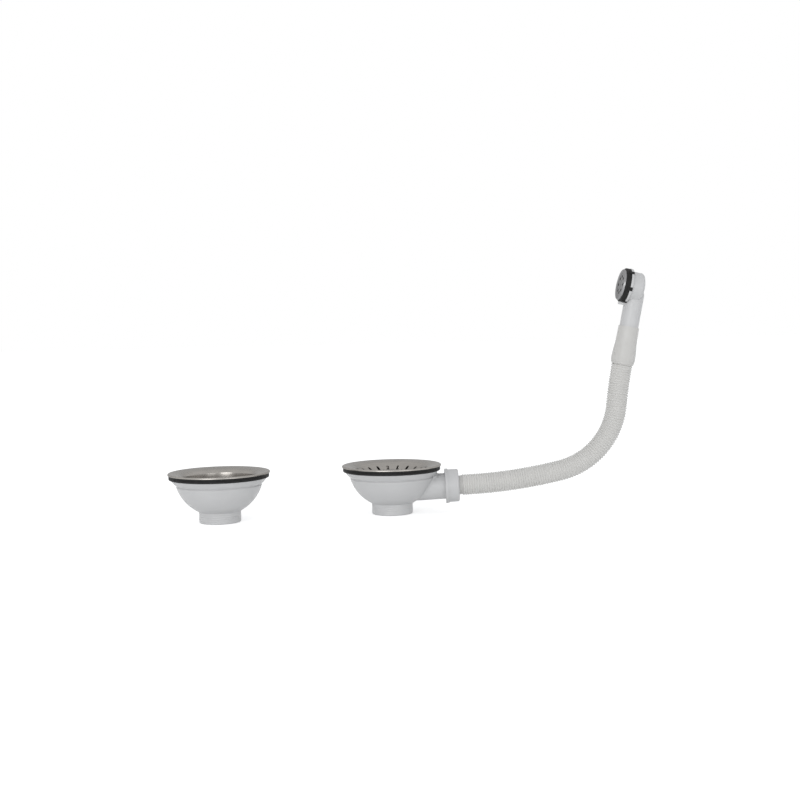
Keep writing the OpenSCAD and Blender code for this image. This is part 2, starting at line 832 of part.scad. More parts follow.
module coupling_nut() {
    tail_hole_r = tail_r + slip_fit;
    inner_r = port_r + thread_fit;
    outline = [
        [inner_r, nut_start],
        [nut_lip_d / 2, nut_start],
        [nut_lip_d / 2, nut_start + nut_lip_w],
        [nut_d / 2, nut_start + nut_lip_w],
        [nut_d / 2, nut_end - nut_chamfer],
        [nut_d / 2 - nut_chamfer, nut_end],
        [tail_hole_r, nut_end],
        [tail_hole_r, nut_end - nut_end_t],
        [inner_r, nut_end - nut_end_t]
    ];
    color("gainsboro") at_port() rotate_extrude() polygon(outline);
}

module cone_seal() {
    seal_bore = tail_r + thread_fit;
    nose_r = port_bore_r - thread_fit;
    nose_end = port_l - port_chamfer;
    outline = [
        [seal_bore, nose_end - cone_nose_l],
        [nose_r, nose_end - cone_nose_l],
        [nose_r, nose_end - thread_fit],
        [port_bore_r + port_chamfer, port_l],
        [port_r - thread_fit, port_l],
        [port_r - thread_fit, cone_seal_end],
        [seal_bore, cone_seal_end]
    ];
    color("dimgray") at_port() rotate_extrude() polygon(outline);
}

module hose_tail() {
    tail_spigot_r = hose_bore_flat - slip_fit;
    color("white") at_port() difference() {
        union() {
            translate([0, 0, tail_start]) cylinder(r = tail_r, h = hose_start - tail_start);
            translate([0, 0, hose_start]) cylinder(r = tail_spigot_r, h = spigot_l);
        }
        translate([0, 0, tail_start - cut])
            cylinder(r = tail_spigot_r - tail_wall, h = hose_start + spigot_l - tail_start + 2 * cut);
    }
}

module overflow_hose() {
    // Outside from start to tip, then back along the bore
    outer = [for (i = [0:2 * folds])
        hose_ring(route_point(route_start, port_rise, hose_l * i / (2 * folds)),
            i % 2 == 0 ? hose_r - hose_fold : hose_r)];
    inner = [for (i = [bore_steps:-1:0])
        hose_ring(route_point(route_start, port_rise, hose_l * i / bore_steps), hose_bore_r)];
    rings = concat(outer, inner);
    n = len(rings);
    points = [for (ring = rings) each ring];
    faces = [for (i = [0:n - 1], k = [0:hose_sides - 1])
        let (j = (i + 1) % n, m = (k + 1) % hose_sides)
        [i * hose_sides + k, i * hose_sides + m, j * hose_sides + m, j * hose_sides + k]];
    color("ivory") polyhedron(points, faces);
}

module hose_cuff() {
    socket_r = hose_r + slip_fit;
    edge_t = (cuff_d / 2 - socket_r) / 2;
    lead_in = 3;
    // Radius of the long hollow in the cuff's side
    side_hollow = 500;
    outline = concat(
        [[socket_r, -cuff_grip]],
        arc_to([socket_r + edge_t, -cuff_grip], [cuff_d / 2, -cuff_grip + lead_in], 2 * lead_in),
        arc_to([cuff_d / 2, -cuff_stop], [cuff_top_d / 2, cuff_top], -side_hollow),
        [
            [spigot_r + thread_fit, cuff_top],
            [spigot_r + thread_fit, cuff_stop],
            [hose_bore_r, cuff_stop],
            [hose_bore_r, 0],
            [socket_r, 0]
        ]
    );
    color("whitesmoke") at_hose_tip() rotate_extrude() polygon(outline);
}

module bell_outside() {
    rotate_extrude() polygon(concat(bell_line, [[0, bell_front]]));
}

module bell_inside() {
    outline = concat(
        [for (p = moved(bell_line, bell_wall)) [max(p[0], 0), p[1]]],
        [[bell_r - bell_wall, bell_front + cut], [0, bell_front + cut]]
    );
    rotate_extrude() polygon(outline);
}

// Blocks for the gasket's lugs, w wide, from radius r outwards and h deep
module lug_ring(w, r, h) {
    ring_of(lugs, 180 + lug_phase) translate([r, -w / 2, 0]) cube([ring_r, w, h]);
}

// Pockets in the flange and neck for the gasket's lugs
module lug_pockets() {
    depth = lug_l + slip_fit;
    translate([0, 0, bell_front - depth]) intersection() {
        lug_ring(lug_w + 2 * slip_fit, lug_root_r, depth + cut);
        cylinder(r = lug_end_r + slip_fit, h = depth + cut);
    }
}

// The lip that reaches forward from the flange, under the gasket
module cradle() {
    cradle_r = bell_flange_r + cradle_t;
    intersection() {
        translate([0, 0, bell_front - bell_flange_t]) difference() {
            cylinder(r = cradle_r, h = cradle_l);
            translate([0, 0, bell_flange_t]) cylinder(r = ring_r + thread_fit, h = cradle_l);
        }
        translate([-cradle_r - cut, -cradle_w / 2, 0]) cube([bell_r, cradle_w, bell_front + cradle_l]);
    }
}

module screw_post() {
    foot = bell_wall / 2 - bell_back;
    difference() {
        translate([0, 0, foot]) cylinder(d = post_d, h = post_front - foot);
        translate([0, 0, post_front - nut_insert_l]) cylinder(d = nut_insert_d, h = nut_insert_l + cut);
    }
}

module overflow_head() {
    color("gainsboro") {
        difference() {
            union() {
                at_bell() {
                    bell_outside();
                    translate([0, 0, bell_front - bell_flange_t])
                        cylinder(r = bell_flange_r, h = bell_flange_t);
                    cradle();
                }
                at_hose_tip() {
                    translate([0, 0, cuff_stop]) cylinder(r = spigot_r, h = cuff_top - cuff_stop + cut);
                    translate([0, 0, cuff_top]) cylinder(r = neck_r, h = dome_z - cuff_top);
                    translate([0, 0, dome_z]) sphere(r = neck_r);
                }
            }
            at_bell() {
                bell_inside();
                lug_pockets();
            }
            at_hose_tip() {
                translate([0, 0, cuff_stop - cut]) cylinder(r = neck_bore_r, h = dome_z - cuff_stop + cut);
                translate([0, 0, dome_z]) sphere(r = neck_bore_r);
            }
        }
        at_bell() screw_post();
    }
}

module overflow_gasket() {
    bore_r = ring_bore_d / 2;
    section = concat(
        [[bore_r, 0], [ring_r, 0]],
        arc_to([ring_r, ring_t - ring_round], [ring_r - ring_round, ring_t], ring_round),
        [[bore_r, ring_t]]
    );
    color("dimgray") at_bell() {
        translate([0, 0, bell_front]) rotate_extrude() polygon(section);
        translate([0, 0, bell_front - lug_l]) intersection() {
            difference() {
                cylinder(r = lug_end_r, h = lug_l + ring_t / 2);
                translate([0, 0, -cut]) cylinder(r = lug_root_r + slip_fit, h = lug_l + ring_t);
            }
            lug_ring(lug_w, lug_root_r, lug_l + ring_t);
        }
    }
}

module overflow_rosette() {
    rim_round = 1.2;
    rim_w = 1.8;
    dip_w = 2.4;
    dip_round = 3.6;
    hole_r = screw_r + rosette_t;
    dip_r = rosette_r - rim_w;
    line = concat(
        [[rosette_r, ring_front]],
        arc_to([rosette_r, rosette_front - rim_round], [rosette_r - rim_round, rosette_front], rim_round),
        arc_to([dip_r, rosette_front], [dip_r - dip_w, rosette_face], -dip_round),
        [[countersink_r, rosette_face], [hole_r, rosette_face - countersink]]
    );
    color("silver") at_bell() difference() {
        rotate_extrude() polygon(sheet(line, rosette_t));
        ring_of(rosette_holes) translate([rosette_circle_d / 2, 0, rosette_face - rosette_h])
            cylinder(d = rosette_hole_d, h = 2 * rosette_h);
    }
}

module rosette_screw() {
    tip = rosette_face - screw_l;
    head_depth = countersink_r - screw_r;
    slot_width = 1;
    slot_depth = 0.9;
    outline = [
        [0, tip],
        [screw_r, tip],
        [screw_r, rosette_face - head_depth],
        [countersink_r, rosette_face],
        [0, rosette_face]
    ];
    color("silver") at_bell() difference() {
        rotate_extrude() polygon(outline);
        translate([-countersink_r, -slot_width / 2, rosette_face - slot_depth])
            cube([2 * countersink_r, slot_width, slot_depth + cut]);
    }
}

module rosette_insert() {
    color("goldenrod") at_bell() translate([0, 0, post_front - nut_insert_l]) difference() {
        cylinder(d = nut_insert_d, h = nut_insert_l);
        translate([0, 0, -cut]) cylinder(r = screw_r + thread_fit, h = nut_insert_l + 2 * cut);
    }
}

plain_strainer_dish();
plain_top_seal();
plain_lower_gasket();
plain_waste_body();
plain_clamp_screw();
plain_screw_insert();
plain_stem_clip();
plain_basket_cup();
plain_basket_knob();
plain_basket_stem();
plain_plug_seal();
plain_seal_washer();
overflow_strainer_dish();
overflow_top_seal();
overflow_lower_gasket();
overflow_waste_body();
overflow_clamp_screw();
overflow_screw_insert();
overflow_stem_clip();
overflow_basket_cup();
overflow_basket_knob();
overflow_basket_stem();
overflow_plug_seal();
overflow_seal_washer();
coupling_nut();
cone_seal();
hose_tail();
overflow_hose();
hose_cuff();
overflow_head();
overflow_gasket();
overflow_rosette();
rosette_screw();
rosette_insert();
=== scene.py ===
"""The looks of a double sink basket waste: camera, light, materials and fine detail."""
import json
import math

import bmesh
import bpy
from mathutils import Matrix, Vector
from mathutils.bvhtree import BVHTree


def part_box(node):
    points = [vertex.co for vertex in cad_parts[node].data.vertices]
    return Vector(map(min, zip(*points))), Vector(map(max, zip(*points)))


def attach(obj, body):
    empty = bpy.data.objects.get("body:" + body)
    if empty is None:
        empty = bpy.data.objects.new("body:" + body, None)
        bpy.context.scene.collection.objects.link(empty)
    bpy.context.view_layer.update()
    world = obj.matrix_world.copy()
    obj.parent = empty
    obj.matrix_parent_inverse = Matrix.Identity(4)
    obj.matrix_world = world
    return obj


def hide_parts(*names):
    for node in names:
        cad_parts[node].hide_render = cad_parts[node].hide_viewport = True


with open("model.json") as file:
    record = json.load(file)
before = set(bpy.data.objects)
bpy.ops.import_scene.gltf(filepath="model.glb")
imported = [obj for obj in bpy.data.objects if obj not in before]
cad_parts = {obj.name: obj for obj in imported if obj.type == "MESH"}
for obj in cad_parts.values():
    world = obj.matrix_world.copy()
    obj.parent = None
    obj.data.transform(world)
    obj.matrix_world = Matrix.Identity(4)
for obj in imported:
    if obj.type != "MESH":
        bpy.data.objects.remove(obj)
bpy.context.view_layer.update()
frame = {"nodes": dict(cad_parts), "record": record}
nodes = frame["nodes"]

MM = 0.001
UP = Vector((0, 0, 1))

# The photograph's camera, aimed a little down. The lens and the sensor are in millimetres
CAMERA_AT = Vector((0.0115, -1.443, 0.220))
CAMERA_DOWN = math.radians(3.51)
CAMERA_ROLL = math.radians(-1.25)
CAMERA_LENS = 56.25
SENSOR_W = 36

# Outlets
OUTLET_R = 23.8 * MM
THREAD_PITCH = 2.309 * MM
THREAD_TOP = 11.4 * MM
PLAIN_THREAD_DEPTH = 0.4 * MM
OVERFLOW_THREAD_DEPTH = 0.25 * MM

# Steel flanges: their flat tops are dished from rim to mouth, less and less further down
FLANGE_TOP = 57.5 * MM
RIM_R, MOUTH_R = 56 * MM, 39.9 * MM
DISHED_BY, DISHED_DEPTH = 3 * MM, 8 * MM
LIP_DROP, LIP_H = 0.5 * MM, 2.3 * MM

# Strainer baskets: wide slots, and a rim that leans out towards the dish
SLOTS = 18
SLOT_FIRST = math.radians(78)
SLOT_FROM, SLOT_TO = 26 * MM, 37.2 * MM
SLOT_OUTER_HALF, SLOT_INNER_HALF = 1.4 * MM, 1.6 * MM
RIM_LEAN = 1 * MM

# Side port
PORT_R = 15 * MM
PORT_Z = 27.8 * MM
PORT_RISE = math.radians(2.5)

# Hose: its route is a row of stretches, each a length and a turn in degrees
HOSE_R = 12.2 * MM
HOSE_FOLD = 1.05 * MM
HOSE_PITCH = 2.83 * MM
HOSE_WALL = 0.9 * MM
HOSE_FROM = 81.6 * MM
HOSE_ROUTE = [(12 * MM, 0), (104 * MM, 10.5), (105 * MM, 71), (48 * MM, -5), (11 * MM, 0)]

# The way that the rosette faces
BELL_AXIS = Vector((-0.972, -0.0697, 0.2245))

# Tones
WHITE_PLASTIC = (0.56, 0.562, 0.567)
HOSE_PLASTIC = (0.583, 0.577, 0.562)
# The corrugated hose's tone is the hose plastic made lighter: painted light that lifts the shade in its
# folds
PAINTED_LIGHT_HOSE_PLASTIC = (0.622, 0.616, 0.6)
STEEL = (0.341, 0.325, 0.306)
BASKET_STEEL = [0.95 * share for share in STEEL]
ROSETTE_STEEL = (0.29, 0.29, 0.295)
SPRING_STEEL = (0.35, 0.35, 0.36)
BRASS = (0.62, 0.45, 0.2)
BLACK_RUBBER = (0.008, 0.008, 0.008)


def middle(node):
    """The middle of a CAD node's box."""
    low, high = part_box(node)
    return (low + high) / 2


def axis_of(node):
    """Where an upright axis through the middle of a CAD node meets the floor."""
    point = middle(node)
    return Vector((point.x, point.y, 0))


# Camera, light and floor

def photo_camera():
    """The camera that took the photograph, as fitted to the flanges and outlets."""
    camera = bpy.data.objects.new("photo_camera", bpy.data.cameras.new("photo_camera"))
    camera.data.lens = CAMERA_LENS
    camera.data.sensor_width = SENSOR_W
    camera.data.clip_start, camera.data.clip_end = 0.05, 50
    turn = Matrix.Rotation(math.pi / 2 - CAMERA_DOWN, 4, "X") @ Matrix.Rotation(CAMERA_ROLL, 4, "Z")
    camera.matrix_world = Matrix.Translation(CAMERA_AT) @ turn
    bpy.context.scene.collection.objects.link(camera)
    bpy.context.scene.camera = camera


def soft_light(name, at, size, watts):
    """A round area light, aimed at the middle of the set."""
    aim = Vector((0.04, 0, 0.1))
    data = bpy.data.lights.new(name, "AREA")
    data.shape = "DISK"
    data.size = size
    data.energy = watts
    light = bpy.data.objects.new(name, data)
    turn = (aim - Vector(at)).to_track_quat("-Z", "Y")
    light.matrix_world = Matrix.Translation(at) @ turn.to_matrix().to_4x4()
    bpy.context.scene.collection.objects.link(light)


def add(tree, kind, inputs=None, **settings):
    """A new node in the tree. An input is a value or another node's output."""
    node = tree.nodes.new(kind)
    for key, value in settings.items():
        setattr(node, key, value)
    for key, value in (inputs or {}).items():
        if isinstance(value, bpy.types.NodeSocket):
            tree.links.new(value, node.inputs[key])
        else:
            node.inputs[key].default_value = value
    return node


def seen_ray(tree):
    """1 for a camera, glossy or transmission ray, and 0 for the light on the object."""
    path = add(tree, "ShaderNodeLightPath")
    first = add(tree, "ShaderNodeMath", {0: path.outputs["Is Camera Ray"],
                                         1: path.outputs["Is Glossy Ray"]}, operation="MAXIMUM")
    both = add(tree, "ShaderNodeMath", {0: first.outputs[0],
                                        1: path.outputs["Is Transmission Ray"]}, operation="MAXIMUM")
    return both.outputs[0]


def pale_world():
    """A dim even light on the object, and a white world to the camera and in reflections."""
    ambient = 0.68
    world = bpy.data.worlds.new("studio")
    world.use_nodes = True
    tree = world.node_tree
    tree.nodes.clear()
    lit = add(tree, "ShaderNodeBackground", {"Color": (0.98, 0.99, 1, 1), "Strength": ambient})
    seen = add(tree, "ShaderNodeBackground", {"Color": (1, 1, 1, 1), "Strength": 1})
    mix = add(tree, "ShaderNodeMixShader",
              {0: seen_ray(tree), 1: lit.outputs[0], 2: seen.outputs[0]})
    out = add(tree, "ShaderNodeOutputWorld")
    tree.links.new(mix.outputs[0], out.inputs["Surface"])
    bpy.context.scene.world = world


def pale_floor():
    """A pale matte floor that keeps the object's shadow, with a little light of its own to the camera."""
    reach, drop = 12, 0.05 * MM
    matte_tone, shown_light = 0.93, 0.5
    mesh = bpy.data.meshes.new("floor")
    quarters = ((-1, -1), (1, -1), (1, 1), (-1, 1))
    corners = [(reach * x, reach * y, -drop) for x, y in quarters]
    mesh.from_pydata(corners, [], [(0, 1, 2, 3)])
    floor = bpy.data.objects.new("floor", mesh)
    bpy.context.scene.collection.objects.link(floor)
    material = bpy.data.materials.new("pale_floor")
    material.use_nodes = True
    tree = material.node_tree
    tree.nodes.clear()
    matte = add(tree, "ShaderNodeBsdfDiffuse", {"Color": (matte_tone, matte_tone, matte_tone, 1)})
    glow = add(tree, "ShaderNodeEmission", {"Strength": shown_light})
    both = add(tree, "ShaderNodeAddShader", {0: matte.outputs[0], 1: glow.outputs[0]})
    mix = add(tree, "ShaderNodeMixShader",
              {0: seen_ray(tree), 1: matte.outputs[0], 2: both.outputs[0]})
    out = add(tree, "ShaderNodeOutputMaterial")
    tree.links.new(mix.outputs[0], out.inputs["Surface"])
    mesh.materials.append(material)


# Materials

# Where nearly all of a noise's values lie
NOISE_SPAN = (0.3, 0.7)


def principled(name, color, roughness, metallic=0.0, **sockets):
    """A new material with its node tree and its shader. Underscores in a socket's name are spaces."""
    material = bpy.data.materials.new(name)
    material.use_nodes = True
    shader = material.node_tree.nodes["Principled BSDF"]
    shader.inputs["Base Color"].default_value = (*color, 1)
    shader.inputs["Roughness"].default_value = roughness
    shader.inputs["Metallic"].default_value = metallic
    for key, value in sockets.items():
        shader.inputs[key.replace("_", " ")].default_value = value
    return material, material.node_tree, shader


def object_points(tree):
    """Texture coordinates in metres, the same at rest and in every pose."""
    return add(tree, "ShaderNodeTexCoord").outputs["Object"]


def noise(tree, vector, scale, detail=3.0, rough=0.55):
    """Noise with this many swells to the metre."""
    values = {"Vector": vector, "Scale": scale, "Detail": detail, "Roughness": rough}
    return add(tree, "ShaderNodeTexNoise", values).outputs["Fac"]


def tint(tree, shader, fac, color, spread):
    """Lets the colour wander around its own value, by a share of it."""
    dark = [c * (1 - spread) for c in color] + [1]
    light = [min(c * (1 + spread), 1) for c in color] + [1]
    ramp = add(tree, "ShaderNodeValToRGB", {"Fac": fac})
    for stop, position, tone in zip(ramp.color_ramp.elements, NOISE_SPAN, (dark, light)):
        stop.position, stop.color = position, tone
    tree.links.new(ramp.outputs["Color"], shader.inputs["Base Color"])


def vary_roughness(tree, shader, fac, low, high):
    """Lets the roughness wander between two values."""
    spread = add(tree, "ShaderNodeMapRange", {"Value": fac, "From Min": NOISE_SPAN[0],
                                              "From Max": NOISE_SPAN[1], "To Min": low, "To Max": high})
    tree.links.new(spread.outputs[0], shader.inputs["Roughness"])


def bump(tree, shader, height, strength, distance):
    """Adds a bump to the shader, on top of any that it has."""
    socket = shader.inputs["Normal"]
    values = {"Height": height, "Strength": strength, "Distance": distance}
    if socket.is_linked:
        values["Normal"] = socket.links[0].from_socket
    tree.links.new(add(tree, "ShaderNodeBump", values).outputs["Normal"], socket)


def moulded_plastic(name, color, roughness, depth=0.12):
    """Satin plastic with the fine grain of its mould and faint flow clouds. Depth is its milkiness."""
    material, tree, shader = principled(name, color, roughness, Subsurface_Weight=depth,
                                        Subsurface_Scale=0.5 * MM, Subsurface_Radius=(1, 1, 1))
    points = object_points(tree)
    smoother, rougher = 0.06, 0.07
    tint(tree, shader, noise(tree, points, scale=45, detail=4), color, spread=0.02)
    vary_roughness(tree, shader, noise(tree, points, scale=260), roughness - smoother, roughness + rougher)
    bump(tree, shader, noise(tree, points, scale=2600, detail=2), strength=0.22, distance=0.02 * MM)
    bump(tree, shader, noise(tree, points, scale=120), strength=0.25, distance=0.05 * MM)
    return material


def turned_points(tree, centre, turn=None):
    """Texture coordinates for marks round an axis: radius, a small share of the way round, and height."""
    way_share = 0.004
    values = {"Vector": object_points(tree), "Location": centre}
    if turn:
        values["Rotation"] = turn
    local = add(tree, "ShaderNodeMapping", values, vector_type="TEXTURE")
    split = add(tree, "ShaderNodeSeparateXYZ", {0: local.outputs[0]})
    x, y, z = split.outputs
    flat = add(tree, "ShaderNodeCombineXYZ", {0: x, 1: y})
    radius = add(tree, "ShaderNodeVectorMath", {0: flat.outputs[0]}, operation="LENGTH")
    angle = add(tree, "ShaderNodeMath", {0: y, 1: x}, operation="ARCTAN2")
    way = add(tree, "ShaderNodeMath", {0: angle.outputs[0], 1: way_share}, operation="MULTIPLY")
    marks = add(tree, "ShaderNodeCombineXYZ", {0: radius.outputs["Value"], 1: way.outputs[0], 2: z})
    return marks.outputs[0]


def turned_metal(name, color, low, high, centre, turn=None):
    """Metal with fine marks that run round its axis, smudges, and a soft change of tone."""
    edge_tone = 0.6
    material, tree, shader = principled(name, color, low, metallic=1.0,
                                        Specular_Tint=(edge_tone, edge_tone, edge_tone, 1))
    marks = turned_points(tree, centre, turn)
    fine = noise(tree, marks, scale=3800, detail=4, rough=0.7)
    smudge = noise(tree, object_points(tree), scale=55, detail=4)
    tint(tree, shader, smudge, color, spread=0.07)
    blend = add(tree, "ShaderNodeMath", {0: fine, 1: smudge}, operation="ADD")
    half = add(tree, "ShaderNodeMath", {0: blend.outputs[0], 1: 0.5}, operation="MULTIPLY")
    vary_roughness(tree, shader, half.outputs[0], low, high)
    bump(tree, shader, fine, strength=0.3, distance=0.012 * MM)
    return material


def plain_metal(name, color, low, high):
    """Metal with a fine grain that runs no special way."""
    material, tree, shader = principled(name, color, low, metallic=1.0)
    points = object_points(tree)
    grain = noise(tree, points, scale=900, detail=4)
    tint(tree, shader, grain, color, spread=0.06)
    vary_roughness(tree, shader, grain, low, high)
    bump(tree, shader, noise(tree, points, scale=5000), strength=0.15, distance=0.01 * MM)
    return material


def black_rubber():
    """Matt black rubber with a fine skin and a little bloom."""
    material, tree, shader = principled("black_rubber", BLACK_RUBBER, 0.6, Specular_IOR_Level=0.25)
    points = object_points(tree)
    tint(tree, shader, noise(tree, points, scale=90, detail=5), BLACK_RUBBER, spread=0.35)
    vary_roughness(tree, shader, noise(tree, points, scale=300), low=0.52, high=0.7)
    bump(tree, shader, noise(tree, points, scale=3000), strength=0.3, distance=0.03 * MM)
    return material


# Meshes

# Points nearer than this are one, and an edge sharper than this stays sharp
DOUBLED = 0.002 * MM
SHARP_DEG = 32


def link(name, mesh):
    """A new object in the scene with this mesh."""
    piece = bpy.data.objects.new(name, mesh)
    bpy.context.scene.collection.objects.link(piece)
    return piece


def rings_mesh(name, rings, closed):
    """A skin over rings of points. It joins the last ring to the first, or is capped at both ends."""
    sides = len(rings[0])
    points = [p for ring in rings for p in ring]
    bands = len(rings) if closed else len(rings) - 1
    faces = []
    for i in range(bands):
        here, there = i * sides, (i + 1) % len(rings) * sides
        for k in range(sides):
            m = (k + 1) % sides
            faces.append((here + k, there + k, there + m, here + m))
    if not closed:
        faces.append(tuple(range(sides)))
        faces.append(tuple(reversed(range(len(points) - sides, len(points)))))
    mesh = bpy.data.meshes.new(name)
    mesh.from_pydata(points, [], faces)
    return mesh


def tidy_mesh(mesh, sharp_deg=SHARP_DEG):
    """Joins doubled points, turns the faces outwards and smooths all but sharp edges."""
    work = bmesh.new()
    work.from_mesh(mesh)
    bmesh.ops.remove_doubles(work, verts=work.verts, dist=DOUBLED)
    bmesh.ops.dissolve_degenerate(work, dist=DOUBLED, edges=work.edges)
    bmesh.ops.recalc_face_normals(work, faces=work.faces)
    if work.calc_volume(signed=True) < 0:
        bmesh.ops.reverse_faces(work, faces=work.faces)
    for face in work.faces:
        face.smooth = True
    for edge in work.edges:
        edge.smooth = edge.calc_face_angle(0) < math.radians(sharp_deg)
    work.to_mesh(mesh)
    work.free()


def copy_of(node):
    """A new mesh with a CAD node's shape, without its materials and stored normals."""
    source = nodes[node].data
    mesh = bpy.data.meshes.new(node + "_copy")
    mesh.from_pydata([v.co for v in source.vertices], [], [tuple(p.vertices) for p in source.polygons])
    tidy_mesh(mesh)
    return mesh


def combined(mesh, tools):
    """The mesh after each tool in turn, a mesh and the name of its operation."""
    piece = link("work", mesh)
    helpers = []
    for tool, operation in tools:
        tidy_mesh(tool)
        helper = link("tool", tool)
        helpers.append(helper)
        step = piece.modifiers.new("step", "BOOLEAN")
        step.object, step.operation, step.solver = helper, operation, "MANIFOLD"
    graph = bpy.context.evaluated_depsgraph_get()
    result = bpy.data.meshes.new_from_object(piece.evaluated_get(graph))
    for helper in [piece, *helpers]:
        bpy.data.objects.remove(helper)
    return result


def thread_tool(axis, depth):
    """A screw-shaped tool that leaves a thread's ridges on an outlet. Its groove runs out at the top."""
    steps_a_turn, below, out_by = 72, 1.5 * MM, 1 * MM
    runout_turns, least_share = 0.6, 0.05
    root_half, open_half = 0.25 * MM, 0.8 * MM
    turns = (THREAD_TOP + below) / THREAD_PITCH
    count = round(turns * steps_a_turn)
    rings = []
    for i in range(count + 1):
        left = (count - i) / steps_a_turn
        deep = depth * min(1, left / runout_turns + least_share)
        angle = 2 * math.pi * i / steps_a_turn
        z = -below + THREAD_PITCH * i / steps_a_turn
        out = Vector((math.cos(angle), math.sin(angle), 0))
        grow = open_half * (deep + out_by) / depth
        section = [(OUTLET_R - deep, -root_half), (OUTLET_R - deep, root_half),
                   (OUTLET_R + out_by, grow), (OUTLET_R + out_by, -grow)]
        rings.append([axis + out * r + UP * (z + dz) for r, dz in section])
    return rings_mesh("thread_tool", rings, False)


def fillet_section(ball, first, second, depth, steps=8, overlap_deg=3):
    """A fillet's section between two contact points of a ball: its arc, and a corner inside the walls."""
    a, b = (first - ball).normalized(), (second - ball).normalized()
    radius = (first - ball).length
    across = a.cross(b).normalized()
    reach = a.angle(b)
    over = math.radians(overlap_deg)
    arc = []
    for i in range(steps + 1):
        angle = -over + (reach + 2 * over) * i / steps
        arc.append(ball + radius * (Matrix.Rotation(angle, 3, across) @ a))
    inside = (first + second) / 2 + (a + b).normalized() * depth
    return [*arc, inside]


def outlet_fillet(tree, axis):
    """The rounded corner between an outlet and the bowl above it, by a ball that touches both."""
    radius, sides, depth = 1.6 * MM, 144, 1.1 * MM
    low, high, halvings = 2 * MM, 20 * MM, 40
    for _ in range(halvings):
        z = (low + high) / 2
        near = tree.find_nearest(Vector((OUTLET_R + radius, 0, z)))[3]
        low, high = (z, high) if near > radius - DOUBLED else (low, z)
    ball = Vector((OUTLET_R + radius, 0, low))
    first = Vector((OUTLET_R, 0, low))
    a_little = 0.1 * MM
    second = tree.find_nearest(ball + UP * a_little)[0]
    section = fillet_section(ball, first, second, depth)
    turns = [Matrix.Rotation(2 * math.pi * k / sides, 3, "Z") for k in range(sides)]
    return rings_mesh("outlet_fillet", [[axis + turn @ p for p in section] for turn in turns], True)


def port_fillet(tree):
    """The rounded corner between the side port and the bowl, by a ball that rolls round the port."""
    sides, depth, outside, steps = 144, 1.1 * MM, 65 * MM, 60
    top_radius, low_radius, change_power = 1.6 * MM, 4.5 * MM, 1.5
    along = Vector((math.cos(PORT_RISE), 0, math.sin(PORT_RISE)))
    above = Vector((-math.sin(PORT_RISE), 0, math.cos(PORT_RISE)))
    foot = UP * PORT_Z
    rings = []
    for k in range(sides):
        angle = 2 * math.pi * k / sides
        top_share = (0.5 + 0.5 * math.cos(angle)) ** change_power
        radius = low_radius + (top_radius - low_radius) * top_share
        out = above * math.cos(angle) + Vector((0, 1, 0)) * math.sin(angle)
        ball = foot + out * (PORT_R + radius) + along * outside
        for _ in range(steps):
            ball -= along * (tree.find_nearest(ball)[3] - radius)
        rings.append(fillet_section(ball, ball - out * radius, tree.find_nearest(ball)[0], depth))
    return rings_mesh("port_fillet", rings, True)


def waste_bodies(material):
    """Both moulded bodies, with threaded outlets and rounded inner corners."""
    plain_axis, overflow_axis = axis_of("plain_strainer_dish"), axis_of("overflow_strainer_dish")
    plain = copy_of("plain_waste_body")
    centred = plain.copy()
    centred.transform(Matrix.Translation(-plain_axis))
    tree = BVHTree.FromPolygons([v.co for v in centred.vertices],
                                [tuple(p.vertices) for p in centred.polygons])
    plain_tools = [(outlet_fillet(tree, plain_axis), "UNION"),
                   (thread_tool(plain_axis, PLAIN_THREAD_DEPTH), "DIFFERENCE")]
    overflow_tools = [(outlet_fillet(tree, overflow_axis), "UNION"),
                      (port_fillet(tree), "UNION"),
                      (thread_tool(overflow_axis, OVERFLOW_THREAD_DEPTH), "DIFFERENCE")]
    overflow = copy_of("overflow_waste_body")
    for waste, mesh, tools in (("plain", plain, plain_tools), ("overflow", overflow, overflow_tools)):
        body = link(waste + "_waste_moulding", combined(mesh, tools))
        tidy_mesh(body.data)
        dress(body, material, "white_plastic", waste + "_waste_body")


def dished(node, reach):
    """A copy of a round CAD node. What is less than this reach below the rim's top is dished."""
    mesh, axis = copy_of(node), axis_of(node)
    for vertex in mesh.vertices:
        out = (vertex.co - axis).to_2d().length
        deep = FLANGE_TOP - vertex.co.z
        if deep < reach:
            inward = min(max((RIM_R - out) / (RIM_R - MOUTH_R), 0), 1)
            vertex.co.z -= DISHED_BY * inward * (1 - deep / DISHED_DEPTH)
            vertex.co.z -= LIP_DROP * max(1 - deep / LIP_H, 0)
    tidy_mesh(mesh)
    return mesh


def steel_dishes(finishes, ring_material):
    """Both steel dishes with their dished flanges, and the rings under them."""
    ring_top_reach = 1.5 * MM
    for waste, finish in finishes.items():
        dish, ring = waste + "_strainer_dish", waste + "_top_seal"
        dress(link(waste + "_pressed_dish", dished(dish, DISHED_DEPTH)), finish, "steel", dish)
        dress(link(waste + "_upper_ring", dished(ring, ring_top_reach)), ring_material, "rubber", ring)


def slot_cutter(axis, low, high):
    """A tool that cuts all of a basket's slots, a little wider at their inner ends."""
    steps = 8
    outline = []
    for middle_r, half, start in ((SLOT_TO - SLOT_OUTER_HALF, SLOT_OUTER_HALF, -math.pi / 2),
                                  (SLOT_FROM + SLOT_INNER_HALF, SLOT_INNER_HALF, math.pi / 2)):
        for k in range(steps + 1):
            angle = start + math.pi * k / steps
            outline.append(Vector((middle_r + half * math.cos(angle), half * math.sin(angle), 0)))
    work = bmesh.new()
    for i in range(SLOTS):
        turn = Matrix.Rotation(SLOT_FIRST + 2 * math.pi * i / SLOTS, 3, "Z")
        rings = [[axis + turn @ p + UP * z for p in outline] for z in (low, high)]
        slot = rings_mesh("slot", rings, False)
        work.from_mesh(slot)
        bpy.data.meshes.remove(slot)
    mesh = bpy.data.meshes.new("slot_cutter")
    work.to_mesh(mesh)
    work.free()
    return mesh


